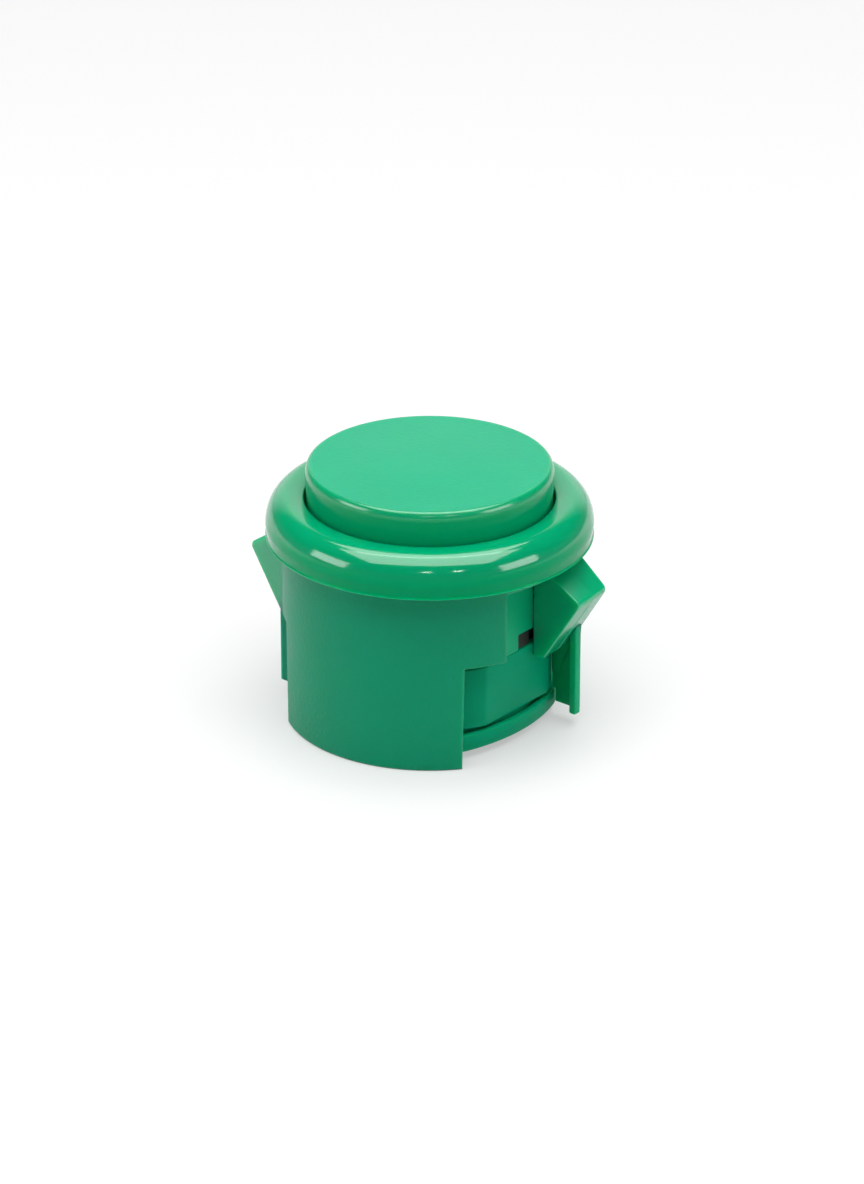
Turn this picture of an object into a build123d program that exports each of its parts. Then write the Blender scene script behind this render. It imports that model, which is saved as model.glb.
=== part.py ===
"""Snap-in arcade push button for a 30 mm panel hole.

The housing stands on its two skirts, so Z = 0 is the skirts' lower edge and the
plunger's axis is the Z axis. The two snap clips lie on +X and -X. The housing, the
plunger and the clips repeat when they are turned by half a turn about Z.
All sizes are millimetres.
"""
import os
from math import cos, hypot, radians, sin, sqrt

from build123d import *

# Panel and housing
panel_hole_diameter = 30.0
panel_hole_clearance = 0.15
panel_thinnest = 2.05
barrel_wall = 1.3
rim_overhang = 1.65
rim_seat_z = 19.5
rim_height = 4.4
rim_bead_width = 2.4
rim_band = 0.9
rim_foot_round = 0.45
rim_lip_drop = 0.9
collar_height = 1.2
shelf_thickness = 1.0
shelf_ledge = 0.75
skirt_edge_round = 0.18

# Side openings between the skirts, measured across the clip (Y) and up (Z)
opening_step_z = 10.95
opening_near_low = 8.85
opening_near_high = 4.8
opening_far_low = 11.85
opening_far_high = 7.8
opening_draft = 0.2

# Snap clips and their release legs
clip_near_side = 2.4
clip_width = 4.7
clip_skew = 0.4
clip_base_clearance = 0.35
clip_root_inner = 12.2
clip_root_clearance = 0.05
clip_root_slope_height = 1.6
clip_bottom_z = 8.4
clip_bottom_thickness = 1.1
clip_reach = 2.6
clip_tip_z = 15.6
clip_tip_round = 0.6
release_post_width = 0.8
release_post_thickness = 0.83
release_post_face = 14.38
release_post_side = 6.48
release_post_bottom_z = 1.3
release_post_top_z = 11.5
release_web_thickness = 0.7
release_web_clearance = 0.17
release_web_bottom_z = 1.35

# Plunger
plunger_inset = 1.25
plunger_clearance = 0.35
plunger_top_z = 27.3
plunger_edge_round = 0.55
plunger_wall = 1.2
plunger_cap_thickness = 1.7
plunger_travel = 1.5
travel_clearance = 0.35
leg_width = 4.0
leg_thickness = 1.1
leg_shelf_clearance = 0.3
leg_stop_clearance = 0.1
leg_foot_clearance = 0.1
barb_reach = 0.9
barb_height = 2.0
barb_land = 0.55
stem_radius = 2.6
stem_pin_radius = 1.5
stem_pin_length = 1.6
rib_count = 6
rib_thickness = 0.9
rib_depth = 1.6

# Guide plates that close the openings above the switch base, with a notch in the lower edge
plate_thickness = 1.1
plate_near_side = 3.9
plate_clip_clearance = 0.1
notch_side = 0.13
notch_top_z = 11.4

# Switch base
base_flange_clearance = 0.7
base_flange_bottom_z = 0.85
base_flange_flat_depth = 0.85
base_flange_thickness = 1.1
base_lip_wall = 0.7
base_lip_top_z = 2.7
base_groove_depth = 1.4
base_cup_step = 0.45
base_flat_depth = 1.0
base_cup_bottom_z = 3.15
base_cup_top_z = 9.65
base_cup_wall = 1.0
base_seat_clearance = 0.05
floor_thickness = 1.0
bay_length = 15.0
bay_width = 7.4
bay_corner = 1.8
cradle_grip = 1.5
snap_ridge_bite = 0.25
snap_ridge_bottom_z = 0.4
snap_ridge_clearance = 0.05
snap_ridge_angle = 34.0
skirt_middle_angle = -82.0

# Switch
switch_end_clearance = 0.7
switch_width = 10.8
switch_bottom_z = 6.8
switch_split_z = 10.4
switch_top_z = 13.4
switch_wall = 0.9
switch_pocket_clearance = 0.15
case_floor = 1.0
cover_roof = 1.0
cover_lip_height = 0.6
cover_lip_wall = 0.4
cover_lip_clearance = 0.05
cover_boss_radius = 3.0
cover_boss_height = 0.8
lug_clearance = 0.1
lug_setback = 0.2
lug_clip_gap = 0.35

# Actuator of the switch
actuator_radius = 1.6
actuator_clearance = 0.1
actuator_rest_gap = 0.05
actuator_foot_length = 3.2
actuator_foot_width = 5.2
actuator_foot_height = 2.4
actuator_slot_width = 2.7
actuator_bore_radius = 0.95
actuator_roof = 1.2
actuator_tip_chamfer = 0.2

# Terminals, lever and contacts
terminal_thickness = 0.5
terminal_width = 2.8
terminal_offset = 5.5
terminal_bottom_z = 0.5
terminal_point = 0.6
terminal_slot_clearance = 0.05
contact_foot_length = 2.6
contact_position = 4.0
contact_radius = 0.8
contact_height = 0.4
contact_gap = 0.5
contact_edge_round = 0.13
lever_thickness = 0.25
lever_width = 3.0
lever_neck_width = 2.2
lever_neck_length = 4.4
lever_tail = 0.5
lever_nose = 1.0
lever_pivot_clearance = 0.05

# Springs
return_spring_radius = 3.6
return_spring_wire = 0.5
return_spring_turns = 6
return_spring_seat_clearance = 0.05
spring_guide_clearance = 0.3
spring_guide_wall = 0.8
spring_guide_depth = 1.2
lever_spring_radius = 0.65
lever_spring_wire = 0.2
lever_spring_turns = 6
lever_spring_seat_clearance = 0.03

# Sizes that follow from the ones above
barrel_radius = panel_hole_diameter / 2 - panel_hole_clearance
barrel_inner_radius = barrel_radius - barrel_wall
rim_radius = barrel_radius + rim_overhang
rim_crown_radius = rim_radius - rim_bead_width
rim_top_z = rim_seat_z + rim_height
rim_band_z = rim_seat_z + rim_band
rim_lip_z = rim_top_z - rim_lip_drop
plunger_radius = barrel_inner_radius - plunger_inset
bore_radius = plunger_radius + plunger_clearance
collar_bottom_z = rim_seat_z - collar_height
shelf_top_z = collar_bottom_z + shelf_thickness
shelf_radius = bore_radius - shelf_ledge
base_flange_radius = barrel_inner_radius - base_flange_clearance
base_cup_radius = base_flange_radius - base_cup_step
base_flat_distance = base_cup_radius - base_flat_depth
base_groove_radius = base_cup_radius - base_groove_depth
switch_length = 2 * (base_flat_distance - base_cup_wall - switch_end_clearance)
clip_far_side = clip_near_side + clip_width
clip_tip_radius = barrel_radius + clip_reach
clip_inner_face = base_flat_distance + clip_base_clearance
clip_root_outer = sqrt(barrel_radius**2 - clip_far_side**2) + clip_skew - clip_root_clearance
plate_outer_face = base_flat_distance
base_flange_flat = base_flange_radius - base_flange_flat_depth
leg_outer_face = shelf_radius - leg_shelf_clearance
cap_under_z = plunger_top_z - plunger_cap_thickness
skirt_bottom_z = shelf_top_z + plunger_travel + travel_clearance
leg_bottom_z = base_cup_top_z + plunger_travel + leg_foot_clearance
leg_inner_face = leg_outer_face - leg_thickness
barb_top_z = collar_bottom_z - leg_stop_clearance
switch_floor_z = switch_bottom_z + case_floor
contact_top_z = switch_floor_z + terminal_slot_clearance + terminal_thickness + contact_height
lever_bottom_z = contact_top_z + contact_gap + contact_height
lever_top_z = lever_bottom_z + lever_thickness
actuator_foot_top_z = switch_top_z - cover_roof - actuator_clearance
actuator_top_z = switch_top_z + cover_boss_height + plunger_travel
stem_bottom_z = actuator_top_z + actuator_rest_gap
bore_roof_z = actuator_top_z - actuator_roof
fork_roof_z = lever_top_z + plunger_travel + actuator_clearance

half_turns = (1, -1)


def across_plane(side, distance):
    """Plane across the clip: local x runs outward along X, local y up, at Y = distance."""
    return Plane(origin=(0, side * distance, 0), x_dir=(side, 0, 0), z_dir=(0, -side, 0))


def side_plane(side):
    """Plane that faces outward along X: local x runs along Y, local y up."""
    return Plane(origin=(0, 0, 0), x_dir=(0, side, 0), z_dir=(side, 0, 0))


os.makedirs("parts", exist_ok=True)

# Housing: rim bead, collar and shelf, two skirts, two snap clips and two guide plates
with BuildPart() as housing:
    with BuildSketch(Plane.XZ) as rim_section:
        with BuildLine():
            Polyline(
                (shelf_radius, shelf_top_z),
                (shelf_radius, collar_bottom_z),
                (barrel_radius, collar_bottom_z),
                (barrel_radius, rim_seat_z),
                (rim_radius - rim_foot_round, rim_seat_z),
            )
            RadiusArc(
                (rim_radius - rim_foot_round, rim_seat_z),
                (rim_radius, rim_seat_z + rim_foot_round),
                -rim_foot_round,
            )
            Line((rim_radius, rim_seat_z + rim_foot_round), (rim_radius, rim_band_z))
            EllipticalCenterArc(
                (rim_crown_radius, rim_band_z),
                rim_radius - rim_crown_radius,
                rim_top_z - rim_band_z,
                start_angle=0,
                arc_size=90,
            )
            EllipticalCenterArc(
                (rim_crown_radius, rim_lip_z),
                rim_crown_radius - bore_radius,
                rim_top_z - rim_lip_z,
                start_angle=90,
                arc_size=90,
            )
            Polyline(
                (bore_radius, rim_lip_z),
                (bore_radius, shelf_top_z),
                (shelf_radius, shelf_top_z),
            )
        make_face()
    revolve(axis=Axis.Z)
    with BuildSketch() as skirt_ring:
        Circle(barrel_radius)
        Circle(barrel_inner_radius, mode=Mode.SUBTRACT)
    extrude(amount=collar_bottom_z)
    for side in half_turns:
        with BuildSketch(side_plane(side)) as side_opening:
            with BuildLine():
                Polyline(
                    (-opening_near_low - opening_draft, -barrel_wall),
                    (-opening_near_low, opening_step_z),
                    (-opening_near_high, opening_step_z),
                    (-opening_near_high, collar_bottom_z),
                    (opening_far_high, collar_bottom_z),
                    (opening_far_high, opening_step_z),
                    (opening_far_low, opening_step_z),
                    (opening_far_low + opening_draft, -barrel_wall),
                    close=True,
                )
            make_face()
        extrude(amount=rim_radius, mode=Mode.SUBTRACT)
    opening_edges = housing.edges().filter_by(Axis.Z).filter_by(
        lambda edge: abs(Vector(edge.center().X, edge.center().Y).length - barrel_radius) < skirt_edge_round
    )
    foot_edges = housing.edges().group_by(Axis.Z)[0]
    fillet(opening_edges + foot_edges, skirt_edge_round)
    for side in half_turns:
        with BuildSketch(across_plane(side, clip_near_side)) as clip_section:
            with BuildLine():
                Polyline(
                    (clip_inner_face, clip_bottom_z),
                    (clip_inner_face + clip_bottom_thickness, clip_bottom_z),
                    (clip_tip_radius, clip_tip_z),
                    (clip_root_outer, rim_seat_z - panel_thinnest),
                    (clip_root_outer, collar_bottom_z + shelf_thickness / 2),
                    (clip_root_inner, collar_bottom_z + shelf_thickness / 2),
                    (clip_root_inner, collar_bottom_z),
                    (clip_inner_face, collar_bottom_z - clip_root_slope_height),
                    close=True,
                )
            make_face()
            fillet(clip_section.vertices().sort_by(Axis.X)[-1], clip_tip_round)
        extrude(amount=hypot(clip_width, clip_skew), dir=(-side * clip_skew, side * clip_width, 0))
        with BuildSketch(across_plane(side, release_post_side)) as release_post_section:
            with Locations((release_post_face, release_post_bottom_z)):
                Rectangle(
                    release_post_thickness,
                    release_post_top_z - release_post_bottom_z,
                    align=(Align.MAX, Align.MIN),
                )
        extrude(amount=release_post_width)
        with BuildSketch(across_plane(side, release_post_side)) as release_web_section:
            web_near_side = release_post_side - release_web_thickness
            flange_edge = sqrt(base_flange_radius**2 - web_near_side**2)
            web_inner = flange_edge + release_web_clearance
            with Locations((web_inner, release_web_bottom_z)):
                Rectangle(
                    release_post_face - release_post_thickness / 2 - web_inner,
                    release_post_top_z - release_web_bottom_z,
                    align=(Align.MIN, Align.MIN),
                )
        extrude(amount=release_web_thickness)
        with BuildSketch(across_plane(side, clip_near_side - plate_clip_clearance)) as plate_section:
            with BuildLine():
                Polyline(
                    (plate_outer_face - plate_thickness, notch_top_z),
                    (plate_outer_face, notch_top_z),
                    (plate_outer_face, collar_bottom_z),
                    (bore_radius, collar_bottom_z),
                    (bore_radius, shelf_top_z),
                    (plate_outer_face - plate_thickness, shelf_top_z),
                    close=True,
                )
            make_face()
        extrude(amount=clip_near_side - plate_clip_clearance + plate_near_side)
        with BuildSketch(across_plane(side, notch_side)) as plate_foot_section:
            with Locations((plate_outer_face, base_cup_top_z + base_seat_clearance)):
                Rectangle(
                    plate_thickness,
                    notch_top_z - base_cup_top_z,
                    align=(Align.MAX, Align.MIN),
                )
        extrude(amount=notch_side + plate_near_side)
    snap_ridge_top_z = base_flange_bottom_z - snap_ridge_clearance
    for side in half_turns:
        ridge_angle = skirt_middle_angle + (0 if side > 0 else 180)
        ridge_plane = Plane(
            origin=(0, 0, 0),
            x_dir=(
                cos(radians(ridge_angle - snap_ridge_angle / 2)),
                sin(radians(ridge_angle - snap_ridge_angle / 2)),
                0,
            ),
            z_dir=(
                sin(radians(ridge_angle - snap_ridge_angle / 2)),
                -cos(radians(ridge_angle - snap_ridge_angle / 2)),
                0,
            ),
        )
        with BuildSketch(ridge_plane) as ridge_section:
            with BuildLine():
                Polyline(
                    (barrel_inner_radius + barrel_wall / 2, snap_ridge_bottom_z),
                    (barrel_inner_radius, snap_ridge_bottom_z),
                    (base_flange_radius - snap_ridge_bite, snap_ridge_top_z),
                    (barrel_inner_radius + barrel_wall / 2, snap_ridge_top_z),
                    close=True,
                )
            make_face()
        revolve(axis=Axis.Z, revolution_arc=snap_ridge_angle)
housing.part.label = "housing"
export_step(housing.part, "parts/housing.step")

# Plunger: flat cap with a rounded edge, hollow below, ribs, push stem and two barbed legs
with BuildPart() as plunger:
    with BuildSketch(Plane.XZ) as cap_section:
        with BuildLine():
            Polyline(
                (0, cap_under_z),
                (plunger_radius - plunger_wall, cap_under_z),
                (plunger_radius - plunger_wall, skirt_bottom_z),
                (plunger_radius, skirt_bottom_z),
                (plunger_radius, plunger_top_z - plunger_edge_round),
            )
            RadiusArc(
                (plunger_radius, plunger_top_z - plunger_edge_round),
                (plunger_radius - plunger_edge_round, plunger_top_z),
                -plunger_edge_round,
            )
            Polyline(
                (plunger_radius - plunger_edge_round, plunger_top_z),
                (0, plunger_top_z),
                (0, cap_under_z),
            )
        make_face()
    revolve(axis=Axis.Z)
    with BuildSketch(Plane.XZ) as stem_section:
        with BuildLine():
            Polyline(
                (0, stem_bottom_z),
                (stem_pin_radius, stem_bottom_z),
                (stem_pin_radius, stem_bottom_z + stem_pin_length),
                (stem_radius, stem_bottom_z + stem_pin_length),
                (stem_radius, cap_under_z + plunger_cap_thickness / 2),
                (0, cap_under_z + plunger_cap_thickness / 2),
                close=True,
            )
        make_face()
    revolve(axis=Axis.Z)
    guide_inner = return_spring_radius + return_spring_wire / 2 + spring_guide_clearance
    with BuildSketch(Plane.XY.offset(cap_under_z)) as spring_guide:
        Circle(guide_inner + spring_guide_wall)
        Circle(guide_inner, mode=Mode.SUBTRACT)
    extrude(amount=-spring_guide_depth)
    with BuildSketch(Plane.XY.offset(cap_under_z)) as cap_ribs:
        rib_start = guide_inner + spring_guide_wall / 2
        rib_length = plunger_radius - plunger_wall / 2 - rib_start
        with PolarLocations(rib_start, rib_count, start_angle=180 / rib_count):
            Rectangle(rib_length, rib_thickness, align=(Align.MIN, Align.CENTER))
    extrude(amount=-rib_depth)
    for side in half_turns:
        with BuildSketch(side_plane(side).offset(-leg_width / 2)) as leg_section:
            with BuildLine():
                Polyline(
                    (leg_inner_face, leg_bottom_z),
                    (leg_outer_face, leg_bottom_z),
                    (leg_outer_face, barb_top_z - barb_height),
                    (leg_outer_face + barb_reach, barb_top_z - barb_land),
                    (leg_outer_face + barb_reach, barb_top_z),
                    (leg_outer_face, barb_top_z),
                    (leg_outer_face, cap_under_z + plunger_cap_thickness / 2),
                    (leg_inner_face, cap_under_z + plunger_cap_thickness / 2),
                    close=True,
                )
            make_face()
        extrude(amount=leg_width)
plunger.part.label = "plunger"
export_step(plunger.part, "parts/plunger.step")

# Switch base: lipped foot flange, grooved neck, cup with two flats and a terminal bay below
with BuildPart() as switch_base:
    with BuildSketch(Plane.XZ) as base_section:
        flange_top_z = base_flange_bottom_z + base_flange_thickness
        with BuildLine():
            Polyline(
                (0, base_flange_bottom_z),
                (base_flange_radius, base_flange_bottom_z),
                (base_flange_radius, base_lip_top_z),
                (base_flange_radius - base_lip_wall, base_lip_top_z),
                (base_flange_radius - base_lip_wall, flange_top_z),
                (base_groove_radius, flange_top_z),
                (base_groove_radius, base_cup_bottom_z),
                (base_cup_radius, base_cup_bottom_z),
                (base_cup_radius, base_cup_top_z),
                (0, base_cup_top_z),
                close=True,
            )
        make_face()
    revolve(axis=Axis.Z)
    cup_height = base_cup_top_z - base_cup_bottom_z
    for side in half_turns:
        with BuildSketch(Plane.XY.offset(base_flange_bottom_z)) as flange_flat:
            with Locations((side * base_flange_flat, 0)):
                Rectangle(
                    base_flange_radius,
                    2 * base_flange_radius,
                    align=(Align.MIN if side > 0 else Align.MAX, Align.CENTER),
                )
        extrude(amount=base_lip_top_z - base_flange_bottom_z, mode=Mode.SUBTRACT)
        with BuildSketch(Plane.XY.offset(base_cup_bottom_z)) as cup_flat:
            with Locations((side * base_flat_distance, 0)):
                Rectangle(
                    base_cup_radius,
                    2 * base_cup_radius,
                    align=(Align.MIN if side > 0 else Align.MAX, Align.CENTER),
                )
        extrude(amount=cup_height, mode=Mode.SUBTRACT)
    with BuildSketch(Plane.XY.offset(flange_top_z)) as lip_flats:
        Rectangle(2 * base_flange_flat, 2 * base_flange_radius)
        Rectangle(
            2 * (base_flange_flat - base_lip_wall),
            2 * base_flange_radius,
            mode=Mode.SUBTRACT,
        )
        Circle(base_flange_radius, mode=Mode.INTERSECT)
    extrude(amount=base_lip_top_z - flange_top_z)
    hollow_floor_z = base_cup_bottom_z + floor_thickness
    with BuildSketch(Plane.XY.offset(hollow_floor_z)) as cup_hollow:
        Circle(base_cup_radius - base_cup_wall)
        Rectangle(
            2 * (base_flat_distance - base_cup_wall),
            2 * base_cup_radius,
            mode=Mode.INTERSECT,
        )
    extrude(amount=base_cup_top_z - hollow_floor_z, mode=Mode.SUBTRACT)
    with BuildSketch(Plane.XY.offset(hollow_floor_z)) as bay_walls:
        RectangleRounded(
            bay_length + 2 * base_cup_wall,
            bay_width + 2 * base_cup_wall,
            bay_corner + base_cup_wall,
        )
    extrude(amount=switch_bottom_z - hollow_floor_z)
    with BuildSketch(Plane.XY.offset(hollow_floor_z)) as switch_cradle:
        pocket_length = switch_length + 2 * switch_pocket_clearance
        pocket_width = switch_width + 2 * switch_pocket_clearance
        Rectangle(pocket_length + 2 * base_cup_wall, pocket_width + 2 * base_cup_wall)
        Circle(base_cup_radius - base_cup_wall / 2, mode=Mode.INTERSECT)
        Rectangle(2 * base_flat_distance - base_cup_wall, 2 * base_cup_radius, mode=Mode.INTERSECT)
        Rectangle(pocket_length, pocket_width, mode=Mode.SUBTRACT)
    extrude(amount=switch_bottom_z + cradle_grip - hollow_floor_z)
    bay_roof_z = switch_bottom_z - floor_thickness
    with BuildSketch() as terminal_bay:
        RectangleRounded(bay_length, bay_width, bay_corner)
    extrude(amount=bay_roof_z, mode=Mode.SUBTRACT)
    with BuildSketch(Plane.XY.offset(bay_roof_z)) as terminal_slots:
        with Locations((terminal_offset, 0), (-terminal_offset, 0)):
            Rectangle(
                terminal_thickness + 2 * terminal_slot_clearance,
                terminal_width + 2 * terminal_slot_clearance,
            )
    extrude(amount=floor_thickness, mode=Mode.SUBTRACT)
switch_base.part.label = "switch_base"
export_step(switch_base.part, "parts/switch_base.step")

# Switch case: open black box with slots for the terminals, a groove for the cover's lip and end lugs
lug_near_side = notch_side + lug_clearance
lug_width = clip_near_side - lug_clip_gap - lug_near_side
lug_root = switch_length / 2 - switch_wall + cover_lip_wall + cover_lip_clearance
lug_length = plate_outer_face - lug_setback - lug_root
lug_bottom_z = base_cup_top_z + lug_clearance
lug_middles = [
    (side * (lug_root + lug_length / 2), side * (lug_near_side + lug_width / 2)) for side in half_turns
]
with BuildPart() as switch_case:
    with BuildSketch(Plane.XY.offset(switch_bottom_z)) as case_outline:
        Rectangle(switch_length, switch_width)
    extrude(amount=switch_split_z - switch_bottom_z)
    with BuildSketch(Plane.XY.offset(switch_floor_z)) as case_cavity:
        Rectangle(switch_length - 2 * switch_wall, switch_width - 2 * switch_wall)
    extrude(amount=switch_split_z - switch_floor_z, mode=Mode.SUBTRACT)
    with BuildSketch(Plane.XY.offset(switch_split_z - cover_lip_height)) as lip_rebate:
        Rectangle(
            switch_length - 2 * (switch_wall - cover_lip_wall),
            switch_width - 2 * (switch_wall - cover_lip_wall),
        )
    extrude(amount=cover_lip_height, mode=Mode.SUBTRACT)
    with BuildSketch(Plane.XY.offset(switch_bottom_z)) as case_slots:
        with Locations((terminal_offset, 0), (-terminal_offset, 0)):
            Rectangle(
                terminal_thickness + 2 * terminal_slot_clearance,
                terminal_width + 2 * terminal_slot_clearance,
            )
    extrude(amount=case_floor, mode=Mode.SUBTRACT)
    with BuildSketch(Plane.XY.offset(lug_bottom_z)) as case_lugs:
        with Locations(*lug_middles):
            Rectangle(lug_length, lug_width)
    extrude(amount=switch_split_z - lug_bottom_z)
switch_case.part.label = "switch_case"
export_step(switch_case.part, "parts/switch_case.step")

# Switch cover: black lid with a locating lip, lugs, a boss for the return spring and the pin's hole
with BuildPart() as switch_cover:
    with BuildSketch(Plane.XY.offset(switch_split_z)) as cover_outline:
        Rectangle(switch_length, switch_width)
    extrude(amount=switch_top_z - switch_split_z)
    with BuildSketch(Plane.XY.offset(switch_top_z)) as spring_boss:
        Circle(cover_boss_radius)
    extrude(amount=cover_boss_height)
    lip_inset = switch_wall - cover_lip_wall + cover_lip_clearance
    with BuildSketch(Plane.XY.offset(switch_split_z)) as cover_lip:
        Rectangle(switch_length - 2 * lip_inset, switch_width - 2 * lip_inset)
    extrude(amount=cover_lip_clearance - cover_lip_height)
    with BuildSketch(Plane.XY.offset(switch_split_z - cover_lip_height)) as cover_cavity:
        Rectangle(switch_length - 2 * switch_wall, switch_width - 2 * switch_wall)
    extrude(amount=switch_top_z - cover_roof - switch_split_z + cover_lip_height, mode=Mode.SUBTRACT)
    with BuildSketch(Plane.XY.offset(switch_split_z)) as actuator_hole:
        Circle(actuator_radius + actuator_clearance)
    extrude(amount=switch_top_z + cover_boss_height - switch_split_z, mode=Mode.SUBTRACT)
    with BuildSketch(Plane.XY.offset(switch_split_z)) as cover_lugs:
        with Locations(*lug_middles):
            Rectangle(lug_length, lug_width)
    extrude(amount=notch_top_z - lug_clearance - switch_split_z)
switch_cover.part.label = "switch_cover"
export_step(switch_cover.part, "parts/switch_cover.step")

# Actuator: round pin with a forked foot that straddles the lever and a bore for the lever spring
with BuildPart() as actuator:
    foot_bottom_z = actuator_foot_top_z - actuator_foot_height
    with BuildSketch(Plane.XY.offset(foot_bottom_z)) as actuator_foot:
        Rectangle(actuator_foot_length, actuator_foot_width)
    extrude(amount=actuator_foot_height)
    with BuildSketch(Plane.XY.offset(actuator_foot_top_z)) as actuator_pin:
        Circle(actuator_radius)
    extrude(amount=actuator_top_z - actuator_foot_top_z)
    chamfer(actuator.edges().group_by(Axis.Z)[-1], actuator_tip_chamfer)
    with BuildSketch(Plane.XY.offset(foot_bottom_z)) as fork_slot:
        Rectangle(actuator_foot_length, actuator_slot_width)
    extrude(amount=fork_roof_z - foot_bottom_z, mode=Mode.SUBTRACT)
    with BuildSketch(Plane.XY.offset(foot_bottom_z)) as spring_bore:
        Circle(actuator_bore_radius)
    extrude(amount=bore_roof_z - foot_bottom_z, mode=Mode.SUBTRACT)
actuator.part.label = "actuator"
export_step(actuator.part, "parts/actuator.step")

# Common terminal: straight brass blade whose upper edge carries the lever
with BuildPart() as common_terminal:
    with BuildSketch(side_plane(-1).offset(terminal_offset - terminal_thickness / 2)) as common_outline:
        with BuildLine():
            Polyline(
                (-terminal_width / 2, terminal_bottom_z + terminal_point),
                (-terminal_width / 2 + terminal_point, terminal_bottom_z),
                (terminal_width / 2 - terminal_point, terminal_bottom_z),
                (terminal_width / 2, terminal_bottom_z + terminal_point),
                (terminal_width / 2, lever_bottom_z - lever_pivot_clearance),
                (-terminal_width / 2, lever_bottom_z - lever_pivot_clearance),
                close=True,
            )
        make_face()
    extrude(amount=terminal_thickness)
common_terminal.part.label = "common_terminal"
export_step(common_terminal.part, "parts/common_terminal.step")

# Contact terminal: brass blade bent over the case floor towards the fixed contact
foot_bottom = switch_floor_z + terminal_slot_clearance
foot_top = foot_bottom + terminal_thickness
with BuildPart() as contact_terminal:
    with BuildSketch(side_plane(1).offset(terminal_offset - terminal_thickness / 2)) as contact_outline:
        with BuildLine():
            Polyline(
                (-terminal_width / 2, terminal_bottom_z + terminal_point),
                (-terminal_width / 2 + terminal_point, terminal_bottom_z),
                (terminal_width / 2 - terminal_point, terminal_bottom_z),
                (terminal_width / 2, terminal_bottom_z + terminal_point),
                (terminal_width / 2, foot_top),
                (-terminal_width / 2, foot_top),
                close=True,
            )
        make_face()
    extrude(amount=terminal_thickness)
    with BuildSketch(Plane.XY.offset(foot_bottom)) as contact_foot:
        with Locations((terminal_offset + terminal_thickness / 2, 0)):
            Rectangle(contact_foot_length, terminal_width, align=(Align.MAX, Align.CENTER))
    extrude(amount=terminal_thickness)
contact_terminal.part.label = "contact_terminal"
export_step(contact_terminal.part, "parts/contact_terminal.step")

# Fixed contact: silver button riveted on the bent foot
with BuildPart() as fixed_contact:
    with BuildSketch(Plane.XY.offset(foot_top)) as fixed_button:
        with Locations((contact_position, 0)):
            Circle(contact_radius)
    extrude(amount=contact_height)
    fillet(fixed_contact.edges().group_by(Axis.Z)[-1], contact_edge_round)
fixed_contact.part.label = "fixed_contact"
export_step(fixed_contact.part, "parts/fixed_contact.step")

# Contact lever: thin spring-bronze arm that rocks on the common terminal, necked for the fork
with BuildPart() as contact_lever:
    with BuildSketch(Plane.XY.offset(lever_bottom_z)) as lever_outline:
        with BuildLine():
            Polyline(
                (-terminal_offset - lever_tail, -lever_width / 2),
                (-lever_neck_length / 2, -lever_width / 2),
                (-lever_neck_length / 2, -lever_neck_width / 2),
                (lever_neck_length / 2, -lever_neck_width / 2),
                (lever_neck_length / 2, -lever_width / 2),
                (contact_position + lever_nose, -lever_width / 2),
                (contact_position + lever_nose, lever_width / 2),
                (lever_neck_length / 2, lever_width / 2),
                (lever_neck_length / 2, lever_neck_width / 2),
                (-lever_neck_length / 2, lever_neck_width / 2),
                (-lever_neck_length / 2, lever_width / 2),
                (-terminal_offset - lever_tail, lever_width / 2),
                close=True,
            )
        make_face()
    extrude(amount=lever_thickness)
contact_lever.part.label = "contact_lever"
export_step(contact_lever.part, "parts/contact_lever.step")

# Moving contact: silver button riveted under the lever's nose
with BuildPart() as moving_contact:
    with BuildSketch(Plane.XY.offset(lever_bottom_z)) as moving_button:
        with Locations((contact_position, 0)):
            Circle(contact_radius)
    extrude(amount=-contact_height)
    fillet(moving_contact.edges().group_by(Axis.Z)[0], contact_edge_round)
moving_contact.part.label = "moving_contact"
export_step(moving_contact.part, "parts/moving_contact.step")


def coil(mean_radius, wire, turns, bottom_z, top_z):
    """Helix path of a compression spring's wire centre between two seats."""
    height = top_z - bottom_z - wire
    return Helix(height / turns, height, mean_radius, center=(0, 0, bottom_z + wire / 2))


# Return spring: steel coil round the stem, between the switch cover and the cap
with BuildPart() as return_spring:
    with BuildLine() as return_path:
        coil(
            return_spring_radius,
            return_spring_wire,
            return_spring_turns,
            switch_top_z + return_spring_seat_clearance,
            cap_under_z - return_spring_seat_clearance,
        )
    with BuildSketch(return_path.line ^ 0):
        Circle(return_spring_wire / 2)
    sweep(is_frenet=True)
return_spring.part.label = "return_spring"
export_step(return_spring.part, "parts/return_spring.step")

# Lever spring: fine coil in the actuator's bore that presses the lever over
with BuildPart() as lever_spring:
    with BuildLine() as lever_path:
        coil(
            lever_spring_radius,
            lever_spring_wire,
            lever_spring_turns,
            lever_top_z + lever_spring_seat_clearance,
            bore_roof_z - lever_spring_seat_clearance,
        )
    with BuildSketch(lever_path.line ^ 0):
        Circle(lever_spring_wire / 2)
    sweep(is_frenet=True)
lever_spring.part.label = "lever_spring"
export_step(lever_spring.part, "parts/lever_spring.step")
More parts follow.
